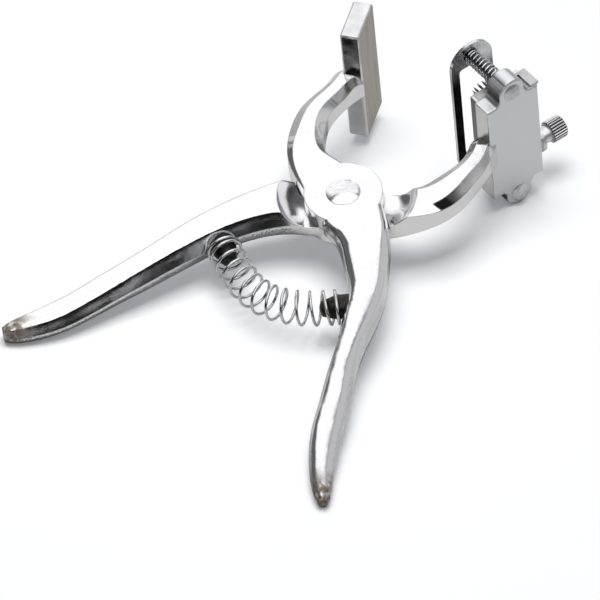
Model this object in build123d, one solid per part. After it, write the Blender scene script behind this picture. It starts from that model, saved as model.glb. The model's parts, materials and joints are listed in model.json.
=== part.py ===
from build123d import *
import os
from math import cos, pi, radians, sin

# Ear tattoo pliers, lying open on the ends of their handles and the head's lower end.
# Millimetres and degrees. The pliers' own frame has its origin at the pivot, on the
# middle plane, with +Z along the pivot. The finished pliers are then laid down as they rest.

# Jaws: both work faces are described by how they meet when the pliers are shut
jaw_reach = 65.4            # pivot to the middle of each work face, measured along the face
platen_direction = 68.4     # the way the platen's face runs outward from the pivot
open_angle = 36.7           # the head lever turns this far to bring the faces parallel
platen_set_back = 9.3       # platen face behind the line through the pivot
shut_clearance = 0.4        # between the release plate and the platen when shut

# Pivot
boss_radius = 14.3
lap_thickness = 6.3         # each lever's half of the lap joint
lap_gap = 0.1               # between the two laps
lap_clearance = 0.9         # round each boss, in the other lever's recess
jaw_rise_radius = 27.0      # where the recess has risen to the face, on the jaw side
handle_rise_radius = 24.0   # and on the handle side
rivet_radius = 4.0
rivet_fit = 0.05
rivet_head_radius = 6.25
rivet_head_height = 2.2
rivet_seat_gap = 0.05

stop_gap = 0.3              # between the levers where they meet when fully open

# Levers
arm_thickness = 11.0        # of the jaw arms
trim_size = 400.0           # larger than the whole tool

# Platen
platen_width = 18.4
platen_length = 52.5
platen_thickness = 7.4
platen_edge_bevel = 0.6

# Head casting
head_width = 22.8
head_end_margin = 0.8       # the head's plate is longer than its box by this much at each end
head_plate_thickness = 7.5
head_edge_radius = 0.7
lug_radius = 5.6
lug_fillet = 2.6
lug_offset = 3.55           # from the plate's end to the middle of its lug
box_width = 20.8
box_depth = 11.6            # back face to the front of the box's walls
near_wall = 1.4
slot_end_wall = 2.0

# Digits and their needles
digit_count = 4
digit_pitch = 10.4          # along the row
digit_gap = 0.1
digit_row_play = 0.4        # in the box, along the row
digit_width = 14.4          # across the row
digit_proud = 0.8           # the digits stand out of the box by this much
digit_bevel = 0.3
needle_count = 10           # in the oval ring on each digit
needle_ring_width = 4.4
needle_ring_height = 6.6
needle_radius = 0.45
needle_length = 5.6
needle_point_length = 1.8
needle_tip_radius = 0.08
needle_set_depth = 2.0
needle_fit = 0.02

# Clamp strip and thumb screw
strip_thickness = 1.2
strip_play = 0.15           # from the strip to the slot's floor
strip_travel = 1.4
strip_ear_thickness = 1.0
strip_ear_reach = 12.1      # from the head's middle to the ear's outer edge
strip_ear_inside = 8.6
strip_ear_back = 0.5        # the ear starts this far from the head's back face
strip_ear_front = 8.9
strip_ear_gap = 0.05
screw_radius = 1.6
screw_fit = 0.05
screw_end_distance = 4.6    # above the lower end of the box
screw_pad_radius = 2.7
screw_pad_clearance = 0.2   # from the pad to the furthest place of the strip
screw_swivel_radius = 0.9
knurl_radius = 4.4
knurl_length = 6.4
knurl_count = 24
knurl_depth = 0.35
knurl_bevel = 0.5
flange_radius = 5.0
flange_length = 1.5
collar_radius = 3.2         # between the flange and the knurled head
collar_length = 4.0
screw_neck = 4.0            # bare thread between the head casting and the flange

# Release plate, its guide pins and their springs
pin_radius = 1.7
pin_fit = 0.06
pin_rivet_radius = 1.2
pin_head_radius = 3.5
pin_head_height = 2.0
pin_seat_gap = 0.03
plate_stand_off = 24.1      # back face to the plate's inner face, at rest
plate_thickness = 1.3
plate_half_width = 9.2
plate_end_margin = 5.85     # from each guide pin's middle to the plate's end
window_half_width = 5.8
window_corner_radius = 1.4
release_spring_radius = 2.75
release_wire_radius = 0.38
release_turns = 10

# Handle spring and the pegs that hold it
peg_radius = 4.4
peg_nose_radius = 2.8
peg_base_length = 3.5       # full width outside the handle, then tapering to the nose
peg_length = 9.6
peg_set_depth = 3.5
peg_dome_height = 0.9
peg_fit = 0.02
peg_seat_gap = 0.05
handle_spring_radius = 5.95
handle_wire_radius = 0.55
handle_spring_turns = 13
handle_spring_stand_off = 2.0   # from each handle, at the peg's middle
spring_bow_platen_side = 0.554  # how far the bow runs on along each peg, as a share of its chord
spring_bow_head_side = 0.392
closed_turns = 1.0          # of each spring, at both ends
points_per_turn = 12
wire_sides = 6
wire_gap = 0.05             # between closed turns
spring_gap = 0.05           # between a spring's ends and what they bear on

# Values that follow from the sizes above
half_thickness = lap_thickness + lap_gap / 2
head_direction = platen_direction - open_angle
box_length = slot_end_wall + digit_count * digit_pitch + digit_row_play
head_length = box_length + 2 * head_end_margin
pin_half_spacing = head_length / 2 + lug_offset
plate_half_length = pin_half_spacing + plate_end_margin
window_half_length = box_length / 2
screw_drop = box_length / 2 - screw_end_distance
plate_front = plate_stand_off + plate_thickness
head_set_back = plate_front + shut_clearance - platen_set_back
digit_front = box_depth + digit_proud
near_wall_inside = -box_width / 2 + near_wall
strip_inside = near_wall_inside + digit_gap + digit_width + digit_gap
strip_outside = strip_inside + strip_thickness
slot_far_side = strip_outside + strip_travel + digit_gap
slot_end = -box_length / 2 + slot_end_wall
screw_depth = (head_plate_thickness + box_depth) / 2

up = Vector(0, 0, 1)


class LeverFrame:
    """A lever's own directions: along its jaw face, and across towards the other jaw."""

    def __init__(self, direction, side):
        turn = radians(direction)
        self.direction = direction
        self.along = Vector(cos(turn), sin(turn), 0)
        self.across = Vector(side * sin(turn), -side * cos(turn), 0)

    def point(self, along, across, height=0.0):
        return self.along * along + self.across * across + up * height

    def jaw_plane(self, set_back):
        """On a jaw face's middle: X along the pivot, Z towards the other jaw."""
        return Plane(self.point(jaw_reach, -set_back), x_dir=up, z_dir=self.across)


platen_frame = LeverFrame(platen_direction, 1)
head_frame = LeverFrame(head_direction, -1)
platen_plane = platen_frame.jaw_plane(platen_set_back)
head_plane = head_frame.jaw_plane(head_set_back)


# Levers: limbs lofted through sections along a curved route

def rounded_section(width, thickness, squareness):
    """A closed curve between an ellipse (squareness 2) and a rectangle (large values)."""
    points = []
    for step in range(16):
        angle = 2 * pi * (step + 0.5) / 16
        c = cos(angle)
        s = sin(angle)
        x = width / 2 * abs(c) ** (2 / squareness) * (1 if c > 0 else -1)
        y = thickness / 2 * abs(s) ** (2 / squareness) * (1 if s > 0 else -1)
        points.append((x, y))
    return make_face(Spline(*points, periodic=True))


def facet_section(width, thickness, bevel_run, bevel_rise):
    """Eight-sided: flat top and bottom, upright sides, and a wide bevel between them."""
    x = width / 2
    y = thickness / 2
    flat = x - bevel_run
    side = y - bevel_rise
    corners = [(x, -side), (x, side), (flat, y), (-flat, y), (-x, side), (-x, -side), (-flat, -y), (flat, -y)]
    return make_face(Polyline(*corners, close=True))


def limb(frame, stations, section):
    """Lofts a limb through its stations: along, across, then the section's own sizes."""
    centres = [frame.point(along, across) for along, across, *sizes in stations]
    route = Spline(*centres)
    faces = []
    for centre, (along, across, *sizes) in zip(centres, stations):
        heading = route.tangent_at(route.param_at_point(centre))
        square_on = Plane(centre, x_dir=heading.cross(up), z_dir=heading)
        faces.append(square_on * section(*sizes))
    return loft(faces)


def lap_recess(frame, above):
    """The dished space round the pivot in which the other lever's boss turns."""
    inner = boss_radius + lap_clearance
    floor = -lap_gap / 2
    over = half_thickness + 1.0
    halves = []
    for rise_radius, start in ((jaw_rise_radius, -90), (handle_rise_radius, 90)):
        scoop = TangentArc((inner, floor), (rise_radius, half_thickness), tangent=(1, 0))
        rest = Polyline(scoop @ 1, (rise_radius, over), (0, over), (0, floor), (inner, floor))
        outline = Rot(0, 0, frame.direction + start) * (Plane.XZ * make_face([*scoop.edges(), *rest.edges()]))
        halves.append(revolve(outline, Axis.Z, revolution_arc=180))
    dish = halves[0] + halves[1]
    return dish if above else mirror(dish, about=Plane.XY)


def root_reliefs(frame, grip_stations, arm_stations, above):
    """Room for the other lever's two roots, a little wider than they are."""
    side = Align.MIN if above else Align.MAX
    height = 2 * half_thickness
    base = -lap_gap / 2 if above else lap_gap / 2
    keep = Pos(0, 0, base) * Cylinder(jaw_rise_radius, height, align=(Align.CENTER, Align.CENTER, side))
    reliefs = []
    for stations, section in ((grip_stations, rounded_section), (arm_stations, facet_section)):
        wider = [(along, across, width + 2 * stop_gap, *sizes) for along, across, width, *sizes in stations]
        reliefs.append(limb(frame, wider, section) & keep)
    return reliefs


def lever(frame, grip_stations, arm_stations, has_upper_lap, other, other_turn):
    """Handle, boss half and jaw arm in one forging, clear of the other lever open and shut."""
    body = limb(frame, grip_stations, rounded_section)
    body += limb(frame, arm_stations, facet_section)
    body += Cylinder(boss_radius, 2 * half_thickness)
    body &= Box(trim_size, trim_size, 2 * half_thickness)
    body -= lap_recess(frame, above=not has_upper_lap)
    for relief in root_reliefs(*other, above=not has_upper_lap):
        body -= relief
        body -= Rot(0, 0, other_turn) * relief
    return body


def peg_socket(peg_plane):
    """The blind hole that a peg is driven into."""
    depth = peg_set_depth + peg_seat_gap
    hole = Cylinder(peg_radius + peg_fit, 3 * depth, align=(Align.CENTER, Align.CENTER, Align.MIN))
    return peg_plane * Pos(0, 0, -depth) * hole


# Handles: along, across, width, thickness, squareness of the section
grip_root = [
    (-6, 5, 22.5, 13.4, 6),
    (-14, 10.5, 20.0, 13.4, 5),
    (-22, 14.6, 17.4, 13.2, 4),
    (-30, 17.3, 16.0, 13.0, 3.4),
]
platen_grip = grip_root + [
    (-40, 20.3, 13.8, 12.9, 3),
    (-54, 21.5, 12.1, 12.6, 2.8),
    (-67, 21.8, 9.9, 12.4, 2.6),
    (-80, 22.4, 10.0, 11.8, 2.5),
    (-93, 23.8, 10.8, 10.8, 2.5),
    (-106, 24.9, 11.0, 10.0, 2.5),
    (-117, 26.8, 10.0, 9.2, 2.4),
    (-126, 29.0, 8.2, 8.0, 2.35),
    (-133, 31.4, 5.8, 6.6, 2.3),
    (-136.5, 32.6, 3.4, 4.6, 2.2),
]
head_grip = grip_root + [
    (-40, 19.4, 14.7, 12.9, 3.1),
    (-54, 20.6, 13.5, 12.8, 3),
    (-66, 20.8, 12.6, 12.6, 2.8),
    (-78, 21.1, 12.2, 11.8, 2.7),
    (-91, 21.6, 12.0, 10.6, 2.6),
    (-103, 22.0, 11.8, 9.8, 2.5),
    (-113, 23.2, 11.5, 9.2, 2.5),
    (-121, 25.2, 10.1, 8.6, 2.4),
    (-127, 27.2, 8.0, 7.4, 2.4),
    (-130.5, 28.6, 4.8, 5.6, 2.3),
]

# Jaw arms: along as a share of the jaw's reach, across, width, thickness, bevel run, bevel rise
arm_root = [
    (0.03, -4, 20.0, 12.9, 0.5, 0.5),
    (0.09, -9, 18.6, 12.9, 0.6, 0.6),
    (0.18, -15.5, 15.5, 12.6, 1.4, 1.2),
]
platen_arm = arm_root + [
    (0.306, -20.5, 13.4, 11.8, 2.6, 2.0),
    (0.413, -22.1, 12.9, arm_thickness, 3.4, 2.4),
    (0.54, -22.6, 11.8, arm_thickness, 3.5, 2.4),
    (0.657, -20.9, 10.6, arm_thickness, 3.2, 2.4),
    (0.78, -17.4, 10.0, arm_thickness, 3.0, 2.4),
    (0.894, -12.6, 9.6, arm_thickness, 2.8, 2.4),
]
head_arm = arm_root + [
    (0.298, -19.9, 14.0, 11.8, 2.6, 2.0),
    (0.405, -21.2, 14.2, arm_thickness, 3.4, 2.4),
    (0.489, -20.8, 13.4, arm_thickness, 3.6, 2.4),
    (0.59, -19.5, 11.6, arm_thickness, 3.4, 2.4),
    (0.713, -17.1, 9.9, arm_thickness, 2.9, 2.4),
    (0.872, -12.4, 9.0, arm_thickness, 2.5, 2.4),
]


def in_reach(stations):
    """Stations with their place along the jaw in millimetres."""
    return [(share * jaw_reach, *rest) for share, *rest in stations]


def platen():
    """The flat anvil that the needles print against."""
    block = Box(platen_length, platen_width, platen_thickness, align=(Align.CENTER, Align.CENTER, Align.MAX))
    return platen_plane * chamfer(block.edges(), platen_edge_bevel)


def head_casting():
    """The bone-shaped plate with the open-ended digit box on its front."""
    outline = Rectangle(head_length, head_width)
    for side in (-1, 1):
        outline += Pos(side * pin_half_spacing, 0) * Circle(lug_radius)
    inside_corners = [
        corner
        for corner in outline.vertices()
        if abs(abs(corner.X) - head_length / 2) < 0.01 and abs(corner.Y) < lug_radius
    ]
    plate = extrude(fillet(inside_corners, lug_fillet), head_plate_thickness)
    plate = fillet(plate.faces().sort_by(Axis.Z)[0].edges(), head_edge_radius)
    box_height = box_depth - head_plate_thickness
    box = Pos(0, 0, head_plate_thickness) * Box(
        box_length, box_width, box_height, align=(Align.CENTER, Align.CENTER, Align.MIN)
    )
    pad_inside = slot_far_side + screw_pad_clearance
    pad_face = Plane((-screw_drop, pad_inside, screw_depth), x_dir=(1, 0, 0), z_dir=(0, 1, 0))
    pad_height = head_width / 2 - pad_inside
    pad = pad_face * Cylinder(screw_pad_radius, pad_height, align=(Align.CENTER, Align.CENTER, Align.MIN))
    slot = Pos(slot_end, near_wall_inside, head_plate_thickness) * Box(
        box_length, slot_far_side - near_wall_inside, 2 * box_depth, align=Align.MIN
    )
    casting = plate + box + pad - slot
    for side in (-1, 1):
        casting -= Pos(side * pin_half_spacing, 0) * Cylinder(pin_radius + pin_fit, 4 * head_plate_thickness)
    casting -= pad_face * Cylinder(screw_radius + screw_fit, 4 * pad_height)
    return head_plane * casting


# Things held in the head

def digit_centre(number):
    return slot_end + digit_gap / 2 + (digit_count - number - 0.5) * digit_pitch


def digit_middle_across():
    return near_wall_inside + digit_gap + digit_width / 2


def needle_places():
    """An oval ring of evenly numbered needles, so the digits carry no readable figure."""
    places = []
    for step in range(needle_count):
        angle = 2 * pi * (step + 0.5) / needle_count
        places.append((needle_ring_width / 2 * cos(angle), needle_ring_height / 2 * sin(angle)))
    return places


def digit_block(number):
    thickness = digit_front - head_plate_thickness - digit_gap
    block = Box(
        digit_pitch - digit_gap, digit_width, thickness, align=(Align.CENTER, Align.CENTER, Align.MAX)
    )
    block = chamfer(block.faces().sort_by(Axis.Z)[-1].edges(), digit_bevel)
    for x, y in needle_places():
        block -= Pos(x, y) * Cylinder(needle_radius + needle_fit, 2 * needle_set_depth)
    return head_plane * Pos(digit_centre(number), digit_middle_across(), digit_front) * block


def digit_needles(number):
    shank = needle_set_depth + needle_length - needle_point_length
    profile = Polyline(
        (0, 0),
        (needle_radius, 0),
        (needle_radius, shank),
        (needle_tip_radius, shank + needle_point_length),
        (0, shank + needle_point_length),
        close=True,
    )
    needle = revolve(Plane.XZ * make_face(profile), Axis.Z)
    stand = head_plane * Pos(digit_centre(number), digit_middle_across(), digit_front - needle_set_depth)
    return Compound(children=[stand * Pos(x, y) * needle for x, y in needle_places()])


def clamp_strip():
    """A flat strip beside the digits, with an ear bent out over the head's upper end."""
    low = head_plate_thickness + strip_play
    high = box_depth - strip_play
    top = head_length / 2 + strip_ear_gap
    start = slot_end + 3 * digit_gap
    leg = Pos(start, strip_inside, low) * Box(
        top + strip_ear_thickness - start, strip_thickness, high - low, align=Align.MIN
    )
    bridge = Pos(top, strip_inside, low) * Box(
        strip_ear_thickness, strip_ear_reach - strip_inside, strip_ear_front - low, align=Align.MIN
    )
    ear_width = strip_ear_reach - strip_ear_inside
    ear = Pos(top, strip_ear_inside, strip_ear_back) * Box(
        strip_ear_thickness, ear_width, strip_ear_front - strip_ear_back, align=Align.MIN
    )
    strip = leg + bridge + ear
    swivel = Plane((-screw_drop, strip_inside, screw_depth), x_dir=(1, 0, 0), z_dir=(0, 1, 0))
    strip -= swivel * Cylinder(screw_swivel_radius + screw_fit, 4 * strip_thickness)
    return head_plane * strip


def thumb_screw():
    """A knurled head, collar and flange, and a shank whose riveted end swivels in the strip."""
    start = strip_inside + screw_fit
    shoulder = strip_outside + screw_fit
    flange_start = head_width / 2 + screw_neck
    collar_start = flange_start + flange_length
    head_start = collar_start + collar_length
    head_end = head_start + knurl_length
    profile = Polyline(
        (0, start),
        (screw_swivel_radius, start),
        (screw_swivel_radius, shoulder),
        (screw_radius, shoulder),
        (screw_radius, flange_start),
        (flange_radius, flange_start),
        (flange_radius, collar_start),
        (collar_radius, collar_start),
        (collar_radius, head_start),
        (knurl_radius - knurl_bevel, head_start),
        (knurl_radius, head_start + knurl_bevel),
        (knurl_radius, head_end - knurl_bevel),
        (knurl_radius - knurl_bevel, head_end),
        (0, head_end),
        close=True,
    )
    screw = revolve(Plane.XZ * make_face(profile), Axis.Z)
    groove = Rot(0, 0, 45) * Box(2 * knurl_depth, 2 * knurl_depth, knurl_length)
    first_groove = Pos(knurl_radius, 0, (head_start + head_end) / 2) * groove
    screw -= [Rot(0, 0, 360 * tooth / knurl_count) * first_groove for tooth in range(knurl_count)]
    swivel = Plane((-screw_drop, 0, screw_depth), x_dir=(1, 0, 0), z_dir=(0, 1, 0))
    return head_plane * (swivel * screw)


# Release plate and its guides

def release_plate():
    end_radius = plate_half_width
    straight = plate_half_length - end_radius
    outline = Rectangle(2 * straight, 2 * end_radius)
    for side in (-1, 1):
        outline += Pos(side * straight, 0) * Circle(end_radius)
        outline -= Pos(side * pin_half_spacing, 0) * Circle(pin_rivet_radius + peg_fit)
    outline -= RectangleRounded(2 * window_half_length, 2 * window_half_width, window_corner_radius)
    return head_plane * Pos(0, 0, plate_stand_off) * extrude(outline, plate_thickness)


def dome(radius, height):
    """A button head standing on its flat side."""
    ball = (radius**2 + height**2) / (2 * height)
    cap = Pos(0, 0, height - ball) * Sphere(ball)
    return cap & Cylinder(radius, height, align=(Align.CENTER, Align.CENTER, Align.MIN))


def guide_pin(side):
    """A headed pin that slides in its lug and is riveted into the release plate."""
    shank = Pos(0, 0, -pin_seat_gap) * Cylinder(
        pin_radius, plate_stand_off + pin_seat_gap, align=(Align.CENTER, Align.CENTER, Align.MIN)
    )
    rivet = Pos(0, 0, plate_stand_off) * Cylinder(
        pin_rivet_radius, plate_thickness, align=(Align.CENTER, Align.CENTER, Align.MIN)
    )
    head = Pos(0, 0, -pin_seat_gap) * mirror(dome(pin_head_radius, pin_head_height), about=Plane.XY)
    return head_plane * Pos(side * pin_half_spacing, 0) * (head + shank + rivet)


# Springs: a wire of few flat sides, wound round a route

def coil_rise(turn, turns, wire, length):
    """How far along its route the wire is, with closed turns at both ends."""
    closed_pitch = wire + wire_gap
    open_pitch = (length - wire - 2 * closed_turns * closed_pitch) / (turns - 2 * closed_turns)
    rise = wire / 2 + closed_pitch * min(turn, closed_turns)
    rise += open_pitch * min(max(turn - closed_turns, 0), turns - 2 * closed_turns)
    return rise + closed_pitch * max(turn - turns + closed_turns, 0)


def coil_spring(route, turns, coil_radius, wire_radius):
    """Winds a coil round a route that may be bent, in the pliers' middle plane or beside it."""
    length = route.length
    places = []
    for step in range(turns * points_per_turn + 1):
        turn = step / points_per_turn
        share = coil_rise(turn, turns, 2 * wire_radius, length) / length
        heading = route.tangent_at(share)
        side = heading.cross(up) if abs(heading.Z) < 0.9 else Vector(1, 0, 0)
        other = heading.cross(side)
        angle = 2 * pi * turn
        radial = side * cos(angle) + other * sin(angle)
        places.append((route.position_at(share) + radial * coil_radius, radial))
    sections = []
    for index, (centre, radial) in enumerate(places):
        before = places[max(index - 1, 0)][0]
        after = places[min(index + 1, len(places) - 1)][0]
        square_on = Plane(centre, x_dir=radial, z_dir=after - before)
        sections.append(square_on * RegularPolygon(wire_radius, wire_sides))
    return loft(sections, ruled=True)


def release_spring(side):
    pin = side * pin_half_spacing
    start = head_plane.from_local_coords(Vector(pin, 0, head_plate_thickness + spring_gap))
    end = head_plane.from_local_coords(Vector(pin, 0, plate_stand_off - spring_gap))
    return coil_spring(Line(start, end), release_turns, release_spring_radius, release_wire_radius)


# Each peg stands on the inner side of its handle: along, across, and its lean back from square
platen_side_peg = (-47.1, 14.6, 21.6)
head_side_peg = (-45.2, 13.1, 17.8)


def peg_plane(frame, place):
    """On the handle's inner side, with Z along the peg."""
    along, across, lean = place
    heading = frame.point(-sin(radians(lean)), -cos(radians(lean)))
    return Plane(frame.point(along, across), z_dir=heading)


def spring_peg(plane):
    """A plug driven into the handle, tapering outside to a domed nose."""
    profile = Polyline(
        (0, -peg_set_depth),
        (peg_radius, -peg_set_depth),
        (peg_radius, peg_base_length),
        (peg_nose_radius, peg_length - peg_dome_height),
        (0, peg_length - peg_dome_height),
        close=True,
    )
    body = revolve(Plane.XZ * make_face(profile), Axis.Z)
    return plane * (body + Pos(0, 0, peg_length - peg_dome_height) * dome(peg_nose_radius, peg_dome_height))


def handle_spring(platen_peg, head_peg):
    """Bent round from one handle's peg to the other's."""
    start = platen_peg.origin + platen_peg.z_dir * handle_spring_stand_off
    end = head_peg.origin + head_peg.z_dir * handle_spring_stand_off
    chord = (end - start).length
    leaving = start + platen_peg.z_dir * (spring_bow_platen_side * chord)
    arriving = end + head_peg.z_dir * (spring_bow_head_side * chord)
    route = Bezier(start, leaving, arriving, end)
    return coil_spring(route, handle_spring_turns, handle_spring_radius, handle_wire_radius)


def pivot_rivet():
    """A plain rivet, domed above and spread below."""
    reach = half_thickness + rivet_seat_gap
    shank = Cylinder(rivet_radius, 2 * reach)
    upper = Pos(0, 0, reach) * dome(rivet_head_radius, rivet_head_height)
    lower = mirror(upper, about=Plane.XY)
    return shank + upper + lower


def build_pieces():
    pegs = {
        "platen_side_peg": peg_plane(platen_frame, platen_side_peg),
        "head_side_peg": peg_plane(head_frame, head_side_peg),
    }
    rivet_hole = Cylinder(rivet_radius + rivet_fit, 4 * half_thickness)
    platen_side = (platen_frame, platen_grip, in_reach(platen_arm))
    head_side = (head_frame, head_grip, in_reach(head_arm))
    platen_lever = lever(*platen_side, True, other=head_side, other_turn=open_angle) + platen()
    head_lever = lever(*head_side, False, other=platen_side, other_turn=-open_angle) + head_casting()
    pieces = {
        "platen_lever": platen_lever - rivet_hole - peg_socket(pegs["platen_side_peg"]),
        "head_lever": head_lever - rivet_hole - peg_socket(pegs["head_side_peg"]),
        "pivot_rivet": pivot_rivet(),
        "handle_spring": handle_spring(*pegs.values()),
        "release_plate": release_plate(),
        "upper_guide_pin": guide_pin(1),
        "lower_guide_pin": guide_pin(-1),
        "upper_release_spring": release_spring(1),
        "lower_release_spring": release_spring(-1),
        "clamp_strip": clamp_strip(),
        "thumb_screw": thumb_screw(),
    }
    for name, plane in pegs.items():
        pieces[name] = spring_peg(plane)
    for number in range(digit_count):
        pieces[f"digit_block_{number + 1}"] = digit_block(number)
        pieces[f"digit_needles_{number + 1}"] = digit_needles(number)
    return pieces


def floor_plane():
    """The plane that the open pliers rest on: the head's lower lug and both handles' tips."""
    lug = head_frame.point(jaw_reach, head_edge_radius - head_set_back, -pin_half_spacing - lug_radius)
    tips = []
    for frame, stations in ((platen_frame, platen_grip), (head_frame, head_grip)):
        along, across, width, thickness, squareness = stations[-2]
        tips.append(frame.point(along, across, -thickness / 2))
    upward = (tips[0] - lug).cross(tips[1] - lug)
    if upward.Z < 0:
        upward = upward * -1
    return Plane(lug, x_dir=Vector(0, 1, 0).cross(upward), z_dir=upward)


def laid_down(pieces):
    """Turns the pliers onto the floor, with the origin under the middle of their outline."""
    floor = floor_plane()
    laid = {name: floor.to_local_coords(piece) for name, piece in pieces.items()}
    box = Compound(children=list(laid.values())).bounding_box()
    shift = Pos(-box.center().X, -box.center().Y, -box.min.Z)
    return {name: shift * piece for name, piece in laid.items()}


def write_pieces(pieces):
    os.makedirs("parts", exist_ok=True)
    for name, piece in pieces.items():
        solids = piece.solids()
        shape = solids[0] if len(solids) == 1 else Compound(children=list(solids))
        shape.label = name
        export_step(shape, f"parts/{name}.step")


write_pieces(laid_down(build_pieces()))
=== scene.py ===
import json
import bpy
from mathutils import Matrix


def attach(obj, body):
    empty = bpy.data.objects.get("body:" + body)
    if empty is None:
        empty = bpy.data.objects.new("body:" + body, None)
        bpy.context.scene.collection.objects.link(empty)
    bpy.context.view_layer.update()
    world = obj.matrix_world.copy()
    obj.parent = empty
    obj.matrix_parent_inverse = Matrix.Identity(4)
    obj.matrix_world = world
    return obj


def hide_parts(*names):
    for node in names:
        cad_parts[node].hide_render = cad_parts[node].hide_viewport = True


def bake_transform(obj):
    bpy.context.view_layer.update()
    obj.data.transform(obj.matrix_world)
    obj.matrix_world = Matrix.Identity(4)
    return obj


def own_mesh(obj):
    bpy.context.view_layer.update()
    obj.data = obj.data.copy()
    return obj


bl_info = {
    "name": "Ear tattoo pliers",
    "version": (1, 0, 0),
    "blender": (4, 5, 0),
    "location": "3D View > Sidebar > Pliers",
    "description": "Dresses a pair of ear tattoo pliers: plated levers, springs, head and stage",
    "category": "Object",
}

from math import cos, pi, radians, sin

import bpy
from mathutils import Matrix, Vector

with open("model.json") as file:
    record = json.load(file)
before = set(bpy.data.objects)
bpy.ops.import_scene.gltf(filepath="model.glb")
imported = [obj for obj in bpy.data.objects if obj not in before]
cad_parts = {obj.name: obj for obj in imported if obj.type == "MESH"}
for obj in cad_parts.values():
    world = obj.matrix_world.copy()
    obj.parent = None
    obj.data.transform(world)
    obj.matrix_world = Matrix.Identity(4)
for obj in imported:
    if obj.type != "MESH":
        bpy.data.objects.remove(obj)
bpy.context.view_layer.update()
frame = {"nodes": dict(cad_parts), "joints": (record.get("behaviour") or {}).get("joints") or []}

MM = 0.001

# The pliers' own directions, from the pivot joint: across the picture, up it, and along the pivot
JOINTS = {joint["name"]: joint for joint in frame["joints"]}
PIVOT = Vector(JOINTS["jaw_pivot"]["pos_m"])
PIVOT_AXIS = Vector(JOINTS["jaw_pivot"]["axis"]).normalized()
UP_PICTURE = PIVOT_AXIS.cross(Vector((1, 0, 0))).normalized()
ACROSS_PICTURE = UP_PICTURE.cross(PIVOT_AXIS)

# The levers' directions and faces, in millimetres and degrees, as the solids were drawn
JAW_REACH = 65.4
PLATEN_DIRECTION = 68.4
HEAD_DIRECTION = 31.7
PLATEN_SET_BACK = 9.3
HEAD_SET_BACK = 16.5
PLATEN_TIP = (-136.5, 32.6)
HEAD_TIP = (-130.5, 28.6)

# Where the castings' surface changes, in millimetres: from the pivot outward, from the pivot towards
# the handles' tips, and above the middle plane
PLATEN_START = (55, 56)
HEAD_START = (53.5, 55)
ARMS_START = (10, 16)
HANDLE_SIDES_START = (38, 80)
SPRING_SIDE_START = (14, 22)
SPRING_SIDE_DARK_ABOVE = (-1.2, 0.8)
HANDLE_SIDES_DARK_ABOVE = (-3, -0.5)
PLATEN_SIDE_DARK_ABOVE = (3, 6)

# Springs, pins and thumb screw, in millimetres
HANDLE_SPRING_START = (-5.76, -49.17)
HANDLE_SPRING_LEAVING = (-34.69, -49.17)
HANDLE_SPRING_ARRIVING = (-39.94, -34.42)
HANDLE_SPRING_END = (-44.86, -14.55)
PIN_HALF_SPACING = 26.35
RELEASE_SPRING_START = 7.5
RELEASE_SPRING_END = 24.1
SPRING_GAP = 0.05
SCREW_UP_PIVOT = -17.4
SCREW_FORWARD = 9.55
KNURL_START = 20.9
KNURL_BOTTOM = 4.08
KNURL_TOP = 4.22


def on_pliers(x, y, z=0.0):
    """A point of the pliers' own frame, in millimetres, as a point of the scene."""
    return PIVOT + (ACROSS_PICTURE * x + UP_PICTURE * y + PIVOT_AXIS * z) * MM


def lever_way(direction, side):
    """A lever's directions in the pliers' frame: along its jaw face, and towards the other jaw."""
    turn = radians(direction)
    along = ACROSS_PICTURE * cos(turn) + UP_PICTURE * sin(turn)
    across = (ACROSS_PICTURE * sin(turn) - UP_PICTURE * cos(turn)) * side
    return along, across


PLATEN_ALONG, PLATEN_ACROSS = lever_way(PLATEN_DIRECTION, 1)
HEAD_ALONG, HEAD_ACROSS = lever_way(HEAD_DIRECTION, -1)
TOWARDS_JAWS = (PLATEN_ALONG + HEAD_ALONG).normalized()


def on_head(up_pivot, outward, forward):
    """A point of the head: along the pivot's axis, outward from the pivot, and in front of its back."""
    place = HEAD_ALONG * (JAW_REACH + outward) + HEAD_ACROSS * (forward - HEAD_SET_BACK)
    return PIVOT + (place + PIVOT_AXIS * up_pivot) * MM


def on_lever(along, across, place):
    """A point of a lever: along its jaw face, and towards the other jaw, in millimetres."""
    return PIVOT + (along * place[0] + across * place[1]) * MM


def linear(hex_colour):
    """An sRGB hex colour as linear RGBA."""
    parts = [int(hex_colour[i : i + 2], 16) / 255 for i in (1, 3, 5)]
    return [p / 12.92 if p <= 0.04045 else ((p + 0.055) / 1.055) ** 2.4 for p in parts] + [1.0]


def colour_setting(name, description, hex_colour):
    """A colour that a user may change."""
    return bpy.props.FloatVectorProperty(
        name=name, description=description, subtype="COLOR", size=4, min=0, max=1, default=linear(hex_colour)
    )


def length_setting(name, description, millimetres):
    """A length that a user may change."""
    length = millimetres * MM
    return bpy.props.FloatProperty(
        name=name, description=description, unit="LENGTH", subtype="DISTANCE", precision=5, default=length
    )


def share_setting(name, description, value):
    """A share from 0 to 1 that a user may change."""
    return bpy.props.FloatProperty(
        name=name, description=description, subtype="FACTOR", min=0, max=1, default=value
    )


def brightness_setting(name, description, value):
    """How bright a part of the studio is where metal mirrors it."""
    return bpy.props.FloatProperty(name=name, description=description, min=0, soft_max=3, default=value)


def turns_setting(name, description, value):
    """How many turns a coil has."""
    return bpy.props.IntProperty(name=name, description=description, min=3, default=value)


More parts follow.
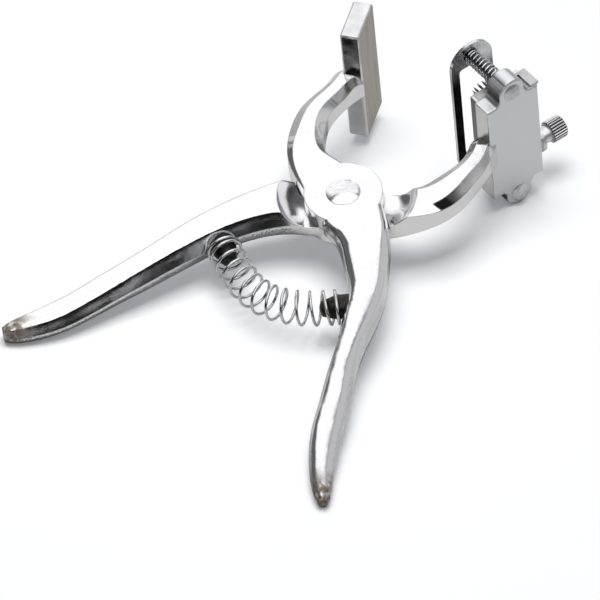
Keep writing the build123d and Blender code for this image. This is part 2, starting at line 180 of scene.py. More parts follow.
class PliersFinish(bpy.types.PropertyGroup):
    """Colours and surface sizes of the metal parts."""

    nickel: colour_setting("Nickel", "Plating on the levers", "#E9E9EB")
    # The worn nickel also serves as painted shade on the head's faces that look back towards the pivot
    nickel_shade: colour_setting("Worn nickel", "Thin plating and casting pits", "#55534F")
    tarnish: colour_setting("Tarnish", "Brown bare metal at the handles' tips", "#83786A")
    ground_steel: colour_setting("Ground face", "Bare ground metal of the platen's face", "#B3ADA7")
    ground_shade: colour_setting("Ground lines", "The darker lines that grinding left", "#94908B")
    satin: colour_setting("Satin face", "The head's finely blasted back", "#DDDEE1")
    wire: colour_setting("Spring wire", "Bright drawn wire", "#DADBDD")
    black_steel: colour_setting("Pegs", "Darkened steel of the spring pegs", "#3A3937")
    sheet: colour_setting("Plated sheet", "Release plate", "#DCDDDF")
    strip: colour_setting("Strip", "Clamp strip", "#BFBFC0")
    digit: colour_setting("Digits", "Machined digit blocks", "#BDBCBA")
    edge_radius: length_setting("Edge radius", "How far polishing has rounded the castings' edges", 0.7)
    wave_width: length_setting("Polishing waves", "Width of the soft waves that polishing left", 12.0)
    grain_width: length_setting("Casting grain", "Width of the casting's pits", 0.5)
    polish: share_setting("Polish roughness", "Roughness of the best polished nickel", 0.07)


class PliersSprings(bpy.types.PropertyGroup):
    """Sizes of the coil springs."""

    handle_radius: length_setting("Handle coil", "Middle radius of the handle spring", 5.95)
    handle_wire: length_setting("Handle wire", "Wire radius of the handle spring", 0.55)
    handle_turns: turns_setting("Handle turns", "Turns of the handle spring", 13)
    release_radius: length_setting("Release coil", "Middle radius of the release springs", 2.75)
    release_wire: length_setting("Release wire", "Wire radius of the release springs", 0.38)
    release_turns: turns_setting("Release turns", "Turns of a release spring", 10)


class PliersStage(bpy.types.PropertyGroup):
    """Floor, light and camera."""

    floor: colour_setting("Floor", "The white table", "#F7F8FA")
    table_left: length_setting("Table left", "From the middle to the left edge, as the metal mirrors it", 220)
    table_front: length_setting("Table front", "From the middle to the front edge, as metal mirrors it", 150)
    mirrored_floor: colour_setting("Mirrored floor", "The table as the metal mirrors it", "#DEDEDC")
    floor_lift: share_setting("Floor lift", "Light added so that the floor meets the background", 0.15)
    key_power: bpy.props.FloatProperty(
        name="Key", description="Power of the main lamp", unit="POWER", default=11.4
    )
    sky: share_setting("Sky", "Even light from all round", 0.28)
    sky_tint: colour_setting("Sky tint", "Cool tint of the even light", "#E6ECFA")
    overhead: brightness_setting("Overhead panel", "The panel over the pliers", 1.5)
    far_panel: brightness_setting("Far panel", "The panel behind the pliers", 1.25)
    wall: brightness_setting("Right wall", "The grey wall on the right", 0.6)
    room: brightness_setting("Room", "The dim room behind", 0.12)
    front: brightness_setting("Front", "The dark side that the camera stands on", 0.012)


# Materials

# How far the painted shade reaches out of a corner, in millimetres
CORNER_SHADE_WIDTH = 1.6


def add(tree, kind, links=None, **settings):
    """Adds a node. Its inputs, by name or place, each take a value, a node or one output of a node."""
    node = tree.nodes.new("ShaderNode" + kind)
    for name, value in settings.items():
        setattr(node, name, value)
    inputs = [socket for socket in node.inputs if socket.enabled]
    for key, value in (links or {}).items():
        socket = inputs[key] if isinstance(key, int) else next(s for s in inputs if s.name == key)
        if isinstance(value, bpy.types.Node):
            tree.links.new(next(s for s in value.outputs if s.enabled), socket)
        elif isinstance(value, tuple) and isinstance(value[0], bpy.types.Node):
            tree.links.new(value[0].outputs[value[1]], socket)
        else:
            socket.default_value = value
    return node


def new_material(name):
    """An empty material with its tree, the surface's place and the direction that it faces."""
    material = bpy.data.materials.new(name)
    material.use_nodes = True
    tree = material.node_tree
    tree.nodes.clear()
    coordinates = add(tree, "TexCoord")
    return material, tree, (coordinates, "Object"), (coordinates, "Normal")


def reach(tree, position, point, direction, low, high):
    """0 nearer than the low distance from the point, along the direction in millimetres, 1 past the high.
    With the larger distance first, it is the other way round."""
    start = direction.dot(point)
    along = add(tree, "VectorMath", {0: position, 1: direction}, operation="DOT_PRODUCT")
    limits = {"Value": (along, "Value"), "From Min": start + low * MM, "From Max": start + high * MM}
    return add(tree, "MapRange", limits, interpolation_type="SMOOTHSTEP")


def looks(tree, normal, direction, low, high):
    """0 where the surface faces the direction less than the low share, 1 where more than the high one.
    With the larger share first, it is the other way round."""
    facing = add(tree, "VectorMath", {0: normal, 1: direction}, operation="DOT_PRODUCT")
    limits = {"Value": (facing, "Value"), "From Min": low, "From Max": high}
    return add(tree, "MapRange", limits, interpolation_type="SMOOTHSTEP")


def near_point(tree, position, point, inner, outer):
    """1 near the point, falling to 0 further out, in millimetres."""
    away = add(tree, "VectorMath", {0: position, 1: point}, operation="DISTANCE")
    limits = {"Value": (away, "Value"), "From Min": outer * MM, "From Max": inner * MM}
    return add(tree, "MapRange", limits, interpolation_type="SMOOTHSTEP")


def blotches(tree, position, width, low, high, detail=2.0):
    """Noise with blotches about this wide, in millimetres, that runs from 0 to 1 between two levels."""
    noise = add(tree, "TexNoise", {"Vector": position, "Scale": 1 / (width * MM), "Detail": detail})
    return add(tree, "MapRange", {"Value": noise, "From Min": low, "From Max": high})


def streaks(tree, position, direction, width, stretch, low=0.35, high=0.7):
    """Grinding or drawing lines along a direction, this far apart in millimetres, as 0 to 1."""
    other = direction.orthogonal().normalized()
    third = direction.cross(other)
    axes = (other, third, direction / stretch)
    parts = [add(tree, "VectorMath", {0: position, 1: axis}, operation="DOT_PRODUCT") for axis in axes]
    line_space = add(tree, "CombineXYZ", {index: (part, "Value") for index, part in enumerate(parts)})
    return blotches(tree, line_space, width, low, high, 3.0)


def product(tree, *factors):
    """All the masks multiplied together."""
    result = factors[0]
    for factor in factors[1:]:
        result = add(tree, "Math", {0: result, 1: factor}, operation="MULTIPLY")
    return result


def finish_metal(tree, colour, roughness, edge, bumps, tilt=None):
    """Metal with rounded edges, bumps as deep as given in millimetres, and painted shade that darkens its
    corners.
    A tilt is added to the direction that the surface faces, so that it mirrors another part of the studio."""
    shape = add(tree, "Bevel", {"Radius": edge * MM}, samples=6)
    if tilt is not None:
        shape = add(tree, "VectorMath", {0: shape, 1: tilt}, operation="ADD")
        shape = add(tree, "VectorMath", {0: shape}, operation="NORMALIZE")
    for height, depth in bumps:
        bump = {"Height": height, "Distance": depth * MM, "Strength": 0.5, "Normal": shape}
        shape = add(tree, "Bump", bump)
    # Painted shade: where ambient occlusion finds the surface enclosed, in corners, creases and round rims,
    # the colour darkens towards near black
    around = add(tree, "AmbientOcclusion", {"Distance": CORNER_SHADE_WIDTH * MM}, samples=6)
    limits = {"Value": (around, "AO"), "From Min": 0.25, "From Max": 0.75, "To Min": 0.85, "To Max": 0.0}
    corner = add(tree, "MapRange", limits)
    colour = add(tree, "Mix", {0: corner, 1: colour, 2: linear("#171614")}, data_type="RGBA")
    surface = {"Base Color": colour, "Metallic": 1.0, "Roughness": roughness, "Normal": shape}
    add(tree, "OutputMaterial", {"Surface": add(tree, "BsdfPrincipled", surface)})


def near_tips(tree, position):
    """1 at the handles' tips, falling to 0 a little way up."""
    tips = ((PLATEN_ALONG, PLATEN_ACROSS, PLATEN_TIP), (HEAD_ALONG, HEAD_ACROSS, HEAD_TIP))
    masks = [near_point(tree, position, on_lever(*tip), 5, 15) for tip in tips]
    return add(tree, "Math", {0: masks[0], 1: masks[1]}, operation="MAXIMUM")


def spring_side(tree, position, normal):
    """1 on the side of the head lever's handle that faces the spring."""
    outward = reach(tree, position, PIVOT, -TOWARDS_JAWS, *SPRING_SIDE_START)
    return product(tree, outward, looks(tree, normal, -UP_PICTURE, 0.15, 0.35))


def casting_wear(tree, position, normal, platen, patches, pits):
    """How worn and pitted the plating is: rough on the handles' sides, but for the upper half of the spring's
    side, dull on the platen, and hardly at all on the polished tops."""
    sides = looks(tree, normal, PIVOT_AXIS, 0.8, 0.3)
    rough = reach(tree, position, PIVOT, -TOWARDS_JAWS, *HANDLE_SIDES_START)
    by_spring = spring_side(tree, position, normal)
    rough = add(tree, "Math", {0: rough, 1: by_spring}, operation="MAXIMUM")
    above = reach(tree, position, PIVOT, PIVOT_AXIS, *SPRING_SIDE_DARK_ABOVE)
    smooth = product(tree, by_spring, above, 0.85)
    rough = add(tree, "Math", {0: rough, 1: smooth}, operation="SUBTRACT", use_clamp=True)
    worn = product(tree, pits, sides, rough, 0.8)
    for lesser in (product(tree, pits, patches, 0.06), product(tree, platen, patches, 0.3)):
        worn = add(tree, "Math", {0: worn, 1: lesser}, operation="MAXIMUM")
    return worn


def casting_lean(tree, position, normal, platen):
    """How far the surface leans towards the pivot's axis or away from it, so that it mirrors what the real
    form mirrors: dark on the upper half of the handles' sides and on stretches of the arms' bevels."""
    rise = add(tree, "VectorMath", {0: normal, 1: PIVOT_AXIS}, operation="DOT_PRODUCT")
    sides = looks(tree, normal, PIVOT_AXIS, 0.8, 0.3)
    outward = reach(tree, position, PIVOT, -TOWARDS_JAWS, *HANDLE_SIDES_START)
    upper = reach(tree, position, PIVOT, PIVOT_AXIS, *HANDLE_SIDES_DARK_ABOVE)
    handles = product(tree, add(tree, "Mix", {0: upper, 1: -0.25, 2: 0.6}), sides, outward)

    evened = add(tree, "Math", {0: (rise, "Value"), 1: -1.3, 2: 0.6}, operation="MULTIPLY_ADD")
    upper = reach(tree, position, PIVOT, PIVOT_AXIS, *SPRING_SIDE_DARK_ABOVE)
    round_corner = looks(tree, normal, PIVOT_AXIS, 0.95, 0.88)
    by_spring = product(tree, add(tree, "Mix", {0: upper, 1: -0.25, 2: evened}), round_corner)
    handles = add(tree, "Mix", {0: spring_side(tree, position, normal), 1: handles, 2: by_spring})

    near_side = looks(tree, normal, -PLATEN_ALONG, 0.9, 0.98)
    upper = reach(tree, position, PIVOT, PIVOT_AXIS, *PLATEN_SIDE_DARK_ABOVE)
    dished = product(tree, platen, near_side, upper)
    lean = add(tree, "Math", {0: dished, 1: 0.5, 2: handles}, operation="MULTIPLY_ADD")

    arms = reach(tree, position, PIVOT, TOWARDS_JAWS, *ARMS_START)
    steeper = looks(tree, normal, PIVOT_AXIS, 0.4, 0.55)
    flatter = looks(tree, normal, PIVOT_AXIS, 0.93, 0.85)
    bevels = product(tree, arms, steeper, flatter, blotches(tree, position, 16, 0.3, 0.5, 1.0))
    return add(tree, "Math", {0: bevels, 1: -0.55, 2: lean}, operation="MULTIPLY_ADD")


def polished_nickel_casting(finish):
    """Nickel over a polished casting: mirror tops with soft waves, which look white or black, and pitted
    sides. The head is satin, with painted shade on its faces that look back towards the pivot; the handles'
    tips are bare and brown, and the platen's face is ground bare."""
    material, tree, position, normal = new_material("polished_nickel_casting")
    waves = blotches(tree, position, finish.wave_width / MM, 0.0, 1.0, 1.0)
    patches = blotches(tree, position, 14, 0.35, 0.65, 4.0)
    pits = blotches(tree, position, finish.grain_width / MM, 0.47, 0.6)
    platen = reach(tree, position, PIVOT, PLATEN_ALONG, *PLATEN_START)
    satin = reach(tree, position, PIVOT, HEAD_ALONG, *HEAD_START)
    ground = product(tree, platen, looks(tree, normal, PLATEN_ACROSS, 0.9, 0.98))
    grinding = streaks(tree, position, PIVOT_AXIS, 0.7, 30, 0.3, 0.7)
    worn = casting_wear(tree, position, normal, platen, patches, pits)
    tarnish = product(tree, near_tips(tree, position), blotches(tree, position, 2.2, 0.3, 0.55, 3.0))
    # Painted shade: the head's satin faces that look back towards the pivot are darkened towards the worn
    # nickel
    shaded = product(tree, looks(tree, normal, -HEAD_ALONG, 0.8, 0.95), 0.85)

    satin_colour = {0: shaded, 1: finish.satin, 2: finish.nickel_shade}
    ground_colour = {0: grinding, 1: finish.ground_steel, 2: finish.ground_shade}
    satin_colour = add(tree, "Mix", satin_colour, data_type="RGBA")
    ground_colour = add(tree, "Mix", ground_colour, data_type="RGBA")
    colour = finish.nickel
    layers = (
        (worn, finish.nickel_shade),
        (tarnish, finish.tarnish),
        (satin, satin_colour),
        (ground, ground_colour),
    )
    for share, layer in layers:
        colour = add(tree, "Mix", {0: share, 1: colour, 2: layer}, data_type="RGBA")

    roughness = add(tree, "Mix", {0: patches, 1: finish.polish, 2: finish.polish + 0.08})
    for share, layer in ((worn, 0.5), (satin, 0.38), (tarnish, 0.6), (ground, 0.4)):
        roughness = add(tree, "Mix", {0: share, 1: roughness, 2: layer})

    lean = casting_lean(tree, position, normal, platen)
    tilt = add(tree, "VectorMath", {0: PIVOT_AXIS, "Scale": lean}, operation="SCALE")
    bumps = ((waves, 0.9), (product(tree, pits, worn), 0.1), (product(tree, grinding, ground), 0.03))
    finish_metal(tree, colour, roughness, finish.edge_radius / MM, bumps, tilt)
    return material


def worked_steel(name, colour, shade, direction, lines, roughness, edge, mask=None, tilt=None):
    """Steel whose lines run one way: lighter and darker along them, with edges rubbed round. The lines have
    a width in millimetres and a stretch, and the roughness has its smoothest and roughest value."""
    material, tree, position, normal = new_material(name)
    marks = streaks(tree, position, direction, *lines)
    patches = blotches(tree, position, 3.5, 0.3, 0.7, 3.0)
    base = add(tree, "Mix", {0: product(tree, marks, patches), 1: colour, 2: shade}, data_type="RGBA")
    if mask:
        share, dark = mask(tree, position, normal)
        base = add(tree, "Mix", {0: share, 1: base, 2: dark}, data_type="RGBA")
    smoothest, roughest = roughness
    polish = add(tree, "Mix", {0: patches, 1: smoothest, 2: roughest})
    finish_metal(tree, base, polish, edge, ((marks, 0.02),), tilt)
    return material


def drawn_spring_wire(finish):
    """Bright drawn wire, the same for every spring: a mirror round the wire, with faint die lines and
    duller spots."""
    name = "drawn_spring_wire"
    wire = bpy.data.materials.get(name)
    return wire or worked_steel(
        name, finish.wire, linear("#8E8F92"), PIVOT_AXIS, lines=(0.4, 2), roughness=(0.1, 0.2), edge=0.05
    )


def blackened_peg_steel(finish):
    """Turned steel darkened by oil and heat: nearly black, with a dull sheen."""
    return worked_steel(
        "blackened_peg_steel",
        finish.black_steel,
        linear("#151413"),
        UP_PICTURE,
        lines=(0.5, 8),
        roughness=(0.3, 0.5),
        edge=0.2,
    )


def plated_punched_sheet(finish):
    """Punched sheet with thin bright plating. Its inner face is coloured nearly black but for its upper end,
    so the bright cut edges stand out."""

    def dark_inner_face(tree, position, normal):
        # The inner face, below its upper end, is coloured nearly black
        inner = looks(tree, normal, -HEAD_ACROSS, 0.8, 0.95)
        return product(tree, inner, reach(tree, position, PIVOT, PIVOT_AXIS, 26, 14)), linear("#211F1C")

    return worked_steel(
        "plated_punched_sheet",
        finish.sheet,
        linear("#A5A6A9"),
        PIVOT_AXIS,
        lines=(0.35, 25),
        roughness=(0.12, 0.26),
        edge=0.15,
        mask=dark_inner_face,
    )


def polished_rivet_steel(finish):
    """A rivet head set and polished by hand: bright all over, because it mirrors little but the panel
    overhead, and slightly rippled."""
    return worked_steel(
        "polished_rivet_steel",
        finish.nickel,
        linear("#B4B5B8"),
        ACROSS_PICTURE,
        lines=(1.1, 3),
        roughness=(0.1, 0.2),
        edge=0.25,
        tilt=PIVOT_AXIS * 0.9,
    )


def satin_pin_steel(finish):
    """Turned pins left satin: their heads are plain grey discs, flattened where they were hammered."""
    return worked_steel(
        "satin_pin_steel",
        finish.satin,
        linear("#A2A3A6"),
        HEAD_ALONG,
        lines=(0.4, 6),
        roughness=(0.3, 0.42),
        edge=0.3,
        tilt=-HEAD_ACROSS * 1.5,
    )


def bent_strip_steel(finish):
    """Plain bent strip: an even grey, with satin lines along the roll."""
    return worked_steel(
        "bent_strip_steel",
        finish.strip,
        linear("#9A9A9A"),
        PIVOT_AXIS,
        lines=(0.3, 20),
        roughness=(0.3, 0.45),
        edge=0.12,
    )


def plated_knurled_screw(finish):
    """Turned and knurled, then plated: bright ridges over grooves darkened with painted shade."""
    axis_point = on_head(SCREW_UP_PIVOT, 0, SCREW_FORWARD)

    def grooves(tree, position, normal):
        # Painted shade: below the ridges' radius, along the knurl, the screw is coloured nearly black
        offset = add(tree, "VectorMath", {0: position, 1: axis_point}, operation="SUBTRACT")
        arm = add(tree, "VectorMath", {0: offset, 1: HEAD_ALONG}, operation="CROSS_PRODUCT")
        radius = add(tree, "VectorMath", {0: arm}, operation="LENGTH")
        limits = {"Value": (radius, "Value"), "From Min": KNURL_TOP * MM, "From Max": KNURL_BOTTOM * MM}
        deep = add(tree, "MapRange", limits)
        knurl = reach(tree, position, axis_point, HEAD_ALONG, KNURL_START, KNURL_START + 0.1)
        return product(tree, deep, knurl), linear("#1B1A19")

    return worked_steel(
        "plated_knurled_screw",
        finish.nickel,
        linear("#B8B9BC"),
        HEAD_ALONG,
        lines=(0.4, 12),
        roughness=(0.4, 0.5),
        edge=0.1,
        mask=grooves,
    )


def machined_digit_steel(finish):
    """Milled blocks: a plain light grey, made satin by the fine cut."""
    return worked_steel(
        "machined_digit_steel",
        finish.digit,
        linear("#8C8B88"),
        HEAD_ALONG,
        lines=(0.3, 15),
        roughness=(0.3, 0.45),
        edge=0.12,
    )


def needle_point_steel(finish):
    """Ground needle points, dulled with ink, which look thin and dark between the blocks and the plate."""
    return worked_steel(
        "needle_point_steel",
        linear("#8E8E8D"),
        linear("#4A4948"),
        HEAD_ACROSS,
        lines=(0.2, 10),
        roughness=(0.22, 0.36),
        edge=0.05,
    )


def dress(node_names, material):
    """Gives nodes of the frame their material."""
    for name in node_names:
        mesh = frame["nodes"][name].data
        mesh.materials.clear()
        mesh.materials.append(material)


def new_piece(name, vertices, faces, material, body):
    """A smooth-shaded piece that rides on a body."""
    mesh = bpy.data.meshes.new(name)
    mesh.from_pydata(vertices, [], faces)
    mesh.validate()
    mesh.update()
    mesh.shade_smooth()
    mesh.materials.append(material)
    piece = bpy.data.objects.new(name, mesh)
    bpy.context.scene.collection.objects.link(piece)
    if body:
        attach(piece, body)
    return piece


# Springs

CURVE_SAMPLES = 400
ROUTE_STEPS = 1000


def bezier(points, share):
    """A place on a curve from its four control points, and the way that the curve runs there."""
    a, b, c, d = points
    rest = 1 - share
    place = a * rest**3 + b * (3 * rest**2 * share) + c * (3 * rest * share**2) + d * share**3
    heading = (b - a) * rest**2 + (c - b) * (2 * rest * share) + (d - c) * share**2
    return place, heading.normalized()


def even_shares(points):
    """Curve shares at even steps of its length, and that length."""
    samples = [bezier(points, sample / CURVE_SAMPLES)[0] for sample in range(CURVE_SAMPLES + 1)]
    lengths = [0.0]
    for before, after in zip(samples, samples[1:]):
        lengths.append(lengths[-1] + (after - before).length)
    shares = []
    index = 0
    for step in range(ROUTE_STEPS + 1):
        target = lengths[-1] * step / ROUTE_STEPS
        while index < CURVE_SAMPLES - 1 and lengths[index + 1] < target:
            index += 1
        run = lengths[index + 1] - lengths[index]
        shares.append((index + (target - lengths[index]) / run) / CURVE_SAMPLES)
    return shares, lengths[-1]


def coil_rise(turn, turns, wire, length):
    """How far along its route the wire is, with one closed turn at each end."""
    closed_pitch = wire + SPRING_GAP * MM
    open_pitch = (length - wire - 2 * closed_pitch) / (turns - 2)
    rise = wire / 2 + closed_pitch * min(turn, 1)
    rise += open_pitch * min(max(turn - 1, 0), turns - 2)
    return rise + closed_pitch * max(turn - turns + 1, 0)


def coil_points(route, turns, coil_radius, wire_radius, steps_per_turn=48):
    """The wire's middle line, wound round the route."""
    shares, length = even_shares(route)
    points = []
    for step in range(turns * steps_per_turn + 1):
        turn = step / steps_per_turn
        along = min(max(coil_rise(turn, turns, 2 * wire_radius, length) / length, 0), 1)
        place, heading = bezier(route, shares[round(along * ROUTE_STEPS)])
        side = heading.cross(PIVOT_AXIS).normalized()
        other = heading.cross(side)
        angle = 2 * pi * turn
        points.append(place + (side * cos(angle) + other * sin(angle)) * coil_radius)
    return points


def wire_mesh(points, radius, sides=14):
    """A round wire along the points, cut off flat at both ends."""
    vertices = []
    faces = []
    side = None
    for index, point in enumerate(points):
        before = points[max(index - 1, 0)]
        after = points[min(index + 1, len(points) - 1)]
        heading = (after - before).normalized()
        side = heading.orthogonal() if side is None else side - heading * side.dot(heading)
        side.normalize()
        other = heading.cross(side)
        for corner in range(sides):
            angle = 2 * pi * corner / sides
            vertices.append(point + (side * cos(angle) + other * sin(angle)) * radius)
    for ring in range(len(points) - 1):
        for corner in range(sides):
            a = ring * sides + corner
            b = ring * sides + (corner + 1) % sides
            faces.append((a, b, b + sides, a + sides))
    last = (len(points) - 1) * sides
    faces.append(tuple(reversed(range(sides))))
    faces.append(tuple(range(last, last + sides)))
    return vertices, faces


class PLIERS_OT_levers(bpy.types.Operator):
    """Plates and polishes the two levers"""

    bl_idname = "pliers.levers"
    bl_label = "Levers"

    def execute(self, context):
        dress(("platen_lever", "head_lever"), polished_nickel_casting(context.scene.pliers_finish))
        return {"FINISHED"}


class PLIERS_OT_pivot(bpy.types.Operator):
    """Finishes the pivot rivet and the pegs of the handle spring"""

    bl_idname = "pliers.pivot"
    bl_label = "Rivet and pegs"

    def execute(self, context):
        finish = context.scene.pliers_finish
        dress(("pivot_rivet",), polished_rivet_steel(finish))
        dress(("platen_side_peg", "head_side_peg"), blackened_peg_steel(finish))
        return {"FINISHED"}


class PLIERS_OT_handle_spring(bpy.types.Operator):
    """Winds the handle spring in round wire, bent from one lever to the other"""

    bl_idname = "pliers.handle_spring"
    bl_label = "Handle spring"

    def execute(self, context):
        sizes = context.scene.pliers_springs
        corners = (HANDLE_SPRING_START, HANDLE_SPRING_LEAVING, HANDLE_SPRING_ARRIVING, HANDLE_SPRING_END)
        route = [on_pliers(*corner) for corner in corners]
        points = coil_points(route, sizes.handle_turns, sizes.handle_radius, sizes.handle_wire)
        vertices, faces = wire_mesh(points, sizes.handle_wire)
        wire = drawn_spring_wire(context.scene.pliers_finish)
        spring = new_piece("handle_spring_coil", vertices, faces, wire, None)
        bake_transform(spring)
        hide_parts("handle_spring")
        return {"FINISHED"}


class PLIERS_OT_release(bpy.types.Operator):
    """Finishes the release plate and its pins, and winds its springs"""

    bl_idname = "pliers.release"
    bl_label = "Release plate and springs"

    def execute(self, context):
        finish = context.scene.pliers_finish
        sizes = context.scene.pliers_springs
        dress(("release_plate",), plated_punched_sheet(finish))
        dress(("upper_guide_pin", "lower_guide_pin"), satin_pin_steel(finish))
        wire = drawn_spring_wire(finish)
        for name, side in (("upper_release_spring", 1), ("lower_release_spring", -1)):
            start = on_head(side * PIN_HALF_SPACING, 0, RELEASE_SPRING_START + SPRING_GAP)
            end = on_head(side * PIN_HALF_SPACING, 0, RELEASE_SPRING_END - SPRING_GAP)
            route = [start, start.lerp(end, 1 / 3), start.lerp(end, 2 / 3), end]
            points = coil_points(route, sizes.release_turns, sizes.release_radius, sizes.release_wire, 36)
            vertices, faces = wire_mesh(points, sizes.release_wire, 12)
            spring = new_piece(name + "_coil", vertices, faces, wire, "head_side")
            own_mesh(spring)
            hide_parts(name)
        return {"FINISHED"}


class PLIERS_OT_head(bpy.types.Operator):
    """Finishes the digits, their needles, the clamp strip and the thumb screw"""

    bl_idname = "pliers.head"
    bl_label = "Digits, strip and screw"

    def execute(self, context):
        finish = context.scene.pliers_finish
        numbers = range(1, 5)
        dress([f"digit_block_{number}" for number in numbers], machined_digit_steel(finish))
        dress([f"digit_needles_{number}" for number in numbers], needle_point_steel(finish))
        dress(("clamp_strip",), bent_strip_steel(finish))
        dress(("thumb_screw",), plated_knurled_screw(finish))
        return {"FINISHED"}


# Stage

# The picture in pixels, the lens in millimetres and the camera's turns in degrees
PICTURE_SIZE = 600
CAMERA_LENS = 420
CAMERA_SENSOR = 36
CAMERA_HEIGHT_ANGLE = 48.19
CAMERA_ROLL = 6.51
PIVOT_IN_PICTURE = (344.45, 203.82)
MM_PER_PIXEL = 0.36

# The table in metres, and the stretches in millimetres over which its mirrored edges darken
TABLE_HALF = 6.0
TABLE_FRONT_FADE = 30
TABLE_LEFT_FADE = 60

KEY_PLACE = (-0.03, 0.05, 1.2)
KEY_TARGET = (0, 0, 0.02)
KEY_SIZE = 0.75

# What metal mirrors, as shares of a direction: X to the right, Y away from the camera's side, Z up.
# Each pair runs from where a part of the studio is dark to where it is full
OVERHEAD_CENTRE = (0, -0.301, 0.954)
OVERHEAD_HALF_ANGLE = 41.5
PANEL_SOFT_EDGE = 2
FAR_LEFT = (-0.56, -0.46)
FAR_RIGHT = (0.44, 0.32)
FAR_DEPTH = (0.36, 0.42)
WALL_START = (0.25, 0.5)
ROOM_START = (-0.45, 0.1)


def place_camera():
    """Puts the camera where the photo was taken, from the pivot's place in the picture."""
    height = radians(CAMERA_HEIGHT_ANGLE)
    roll = radians(CAMERA_ROLL)
    level = Vector((0, sin(height), cos(height)))
    right = Vector((1, 0, 0)) * cos(roll) - level * sin(roll)
    upright = Vector((1, 0, 0)) * sin(roll) + level * cos(roll)
    ahead = Vector((0, cos(height), -sin(height)))
    distance = CAMERA_LENS / CAMERA_SENSOR * PICTURE_SIZE
    shift_right = PIVOT_IN_PICTURE[0] - PICTURE_SIZE / 2
    shift_up = PICTURE_SIZE / 2 - PIVOT_IN_PICTURE[1]
    centre = (right * shift_right + upright * shift_up + ahead * distance) * -MM_PER_PIXEL
    pliers = Matrix((ACROSS_PICTURE, UP_PICTURE, PIVOT_AXIS)).transposed()
    turn = pliers @ Matrix((right, upright, -ahead)).transposed()
    data = bpy.data.cameras.new("camera")
    data.lens = CAMERA_LENS
    data.sensor_width = CAMERA_SENSOR
    data.clip_start = 0.1
    data.clip_end = 20
    camera = bpy.data.objects.new("camera", data)
    camera.matrix_world = Matrix.Translation(on_pliers(*centre)) @ turn.to_4x4()
    bpy.context.scene.collection.objects.link(camera)
    bpy.context.scene.camera = camera


def table_material(stage):
    """White table paper. Seen straight on it is white. Metal mirrors it greyer, and only up to its edges."""
    material, tree, position = new_material("white_table_paper")[:3]
    path = add(tree, "LightPath")
    front = stage.table_front / MM
    left = stage.table_left / MM
    past_front = reach(tree, position, Vector(), Vector((0, -1, 0)), front, front + TABLE_FRONT_FADE)
    past_left = reach(tree, position, Vector(), Vector((-1, 0, 0)), left, left + TABLE_LEFT_FADE)
    edge = add(tree, "Math", {0: past_left, 1: past_front}, operation="MAXIMUM")
    mirrored = add(tree, "Mix", {0: edge, 1: stage.mirrored_floor, 2: linear("#080808")}, data_type="RGBA")
    colour = add(tree, "Mix", {0: (path, "Is Glossy Ray"), 1: stage.floor, 2: mirrored}, data_type="RGBA")
    paper = add(tree, "BsdfDiffuse", {"Color": colour})
    lift = add(tree, "Math", {0: (path, "Is Camera Ray"), 1: stage.floor_lift}, operation="MULTIPLY")
    glow = add(tree, "Emission", {"Strength": lift})
    add(tree, "OutputMaterial", {"Surface": add(tree, "AddShader", {0: paper, 1: glow})})
    return material


def soft_panel(tree, direction, centre, half_angle, brightness):
    """A round light panel of the studio as metal mirrors it, with a slightly soft edge."""
    near = add(tree, "VectorMath", {0: direction, 1: Vector(centre).normalized()}, operation="DOT_PRODUCT")
    limits = {
        "Value": (near, "Value"),
        "From Min": cos(radians(half_angle + PANEL_SOFT_EDGE)),
        "From Max": cos(radians(half_angle - PANEL_SOFT_EDGE)),
        "To Max": brightness,
    }
    return add(tree, "MapRange", limits, interpolation_type="SMOOTHSTEP")


def studio_world(stage):
    """Straight on it is white. Metal mirrors two light panels, a grey wall on the right and a dark front."""
    world = bpy.data.worlds.new("studio")
    world.use_nodes = True
    tree = world.node_tree
    tree.nodes.clear()
    path = add(tree, "LightPath")
    direction = (add(tree, "TexCoord"), "Generated")
    overhead = soft_panel(tree, direction, OVERHEAD_CENTRE, OVERHEAD_HALF_ANGLE, stage.overhead)
    axes = add(tree, "SeparateXYZ", {0: direction})
    edges = (("X", FAR_LEFT), ("X", FAR_RIGHT), ("Y", FAR_DEPTH), ("X", WALL_START), ("Y", ROOM_START))
    far_left, far_right, far_depth, right, behind = [
        add(tree, "MapRange", {"Value": (axes, axis), "From Min": dark, "From Max": full})
        for axis, (dark, full) in edges
    ]
    far = product(tree, far_left, far_right, far_depth, stage.far_panel)
    wall = product(tree, right, behind, stage.wall)
    mirrored = add(tree, "Math", {0: behind, 1: stage.room, 2: stage.front}, operation="MULTIPLY_ADD")
    for panel in (overhead, far, wall):
        mirrored = add(tree, "Math", {0: mirrored, 1: panel}, operation="MAXIMUM")
    brightness = add(tree, "Mix", {0: (path, "Is Glossy Ray"), 1: stage.sky, 2: mirrored})
    brightness = add(tree, "Mix", {0: (path, "Is Camera Ray"), 1: brightness, 2: 1.0})
    tint = add(
        tree, "Mix", {0: (path, "Is Diffuse Ray"), 1: linear("#FFFFFF"), 2: stage.sky_tint}, data_type="RGBA"
    )
    light = add(tree, "Background", {"Color": tint, "Strength": brightness})
    add(tree, "OutputWorld", {"Surface": light})
    bpy.context.scene.world = world


def lamp(name, place, target, size, power, colour):
    """A square soft lamp that no metal mirrors."""
    data = bpy.data.lights.new(name, "AREA")
    data.shape = "SQUARE"
    data.size = size
    data.energy = power
    data.color = linear(colour)[:3]
    light = bpy.data.objects.new(name, data)
    light.location = place
    light.visible_glossy = False
    light.rotation_euler = (Vector(target) - Vector(place)).to_track_quat("-Z", "Y").to_euler()
    bpy.context.scene.collection.objects.link(light)


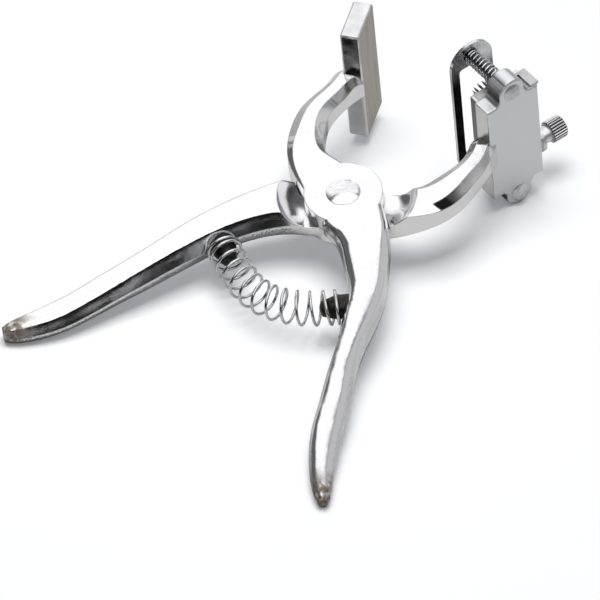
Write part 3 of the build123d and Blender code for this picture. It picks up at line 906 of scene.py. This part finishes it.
class PLIERS_OT_stage(bpy.types.Operator):
    """Builds the white table, the light and the camera"""

    bl_idname = "pliers.stage"
    bl_label = "Stage"

    def execute(self, context):
        stage = context.scene.pliers_stage
        mesh = bpy.data.meshes.new("table")
        corners = [(x * TABLE_HALF, y * TABLE_HALF, 0) for x, y in ((-1, -1), (1, -1), (1, 1), (-1, 1))]
        mesh.from_pydata(corners, [], [(0, 1, 2, 3)])
        mesh.materials.append(table_material(stage))
        table = bpy.data.objects.new("table", mesh)
        context.scene.collection.objects.link(table)
        studio_world(stage)
        lamp("key", KEY_PLACE, KEY_TARGET, KEY_SIZE, stage.key_power, "#FFFDF9")
        place_camera()
        context.scene.view_settings.view_transform = "Standard"
        return {"FINISHED"}


class PLIERS_PT_panel(bpy.types.Panel):
    """Lists the steps and the settings"""

    bl_idname = "PLIERS_PT_panel"
    bl_label = "Ear tattoo pliers"
    bl_space_type = "VIEW_3D"
    bl_region_type = "UI"
    bl_category = "Pliers"

    def draw(self, context):
        for step in STEPS:
            self.layout.operator(step.bl_idname)
        for group in (context.scene.pliers_finish, context.scene.pliers_springs, context.scene.pliers_stage):
            for name in group.__annotations__:
                self.layout.prop(group, name)


SETTINGS = {"pliers_finish": PliersFinish, "pliers_springs": PliersSprings, "pliers_stage": PliersStage}
STEPS = (
    PLIERS_OT_levers,
    PLIERS_OT_pivot,
    PLIERS_OT_handle_spring,
    PLIERS_OT_release,
    PLIERS_OT_head,
    PLIERS_OT_stage,
)


def register():
    for name, group in SETTINGS.items():
        bpy.utils.register_class(group)
        setattr(bpy.types.Scene, name, bpy.props.PointerProperty(type=group))
    for step in STEPS:
        bpy.utils.register_class(step)
    bpy.utils.register_class(PLIERS_PT_panel)


def unregister():
    bpy.utils.unregister_class(PLIERS_PT_panel)
    for step in reversed(STEPS):
        bpy.utils.unregister_class(step)
    for name, group in SETTINGS.items():
        delattr(bpy.types.Scene, name)
        bpy.utils.unregister_class(group)


def main():
    register()
    bpy.ops.pliers.levers()
    bpy.ops.pliers.pivot()
    bpy.ops.pliers.handle_spring()
    bpy.ops.pliers.release()
    bpy.ops.pliers.head()
    bpy.ops.pliers.stage()


if __name__ == "__main__":
    main()
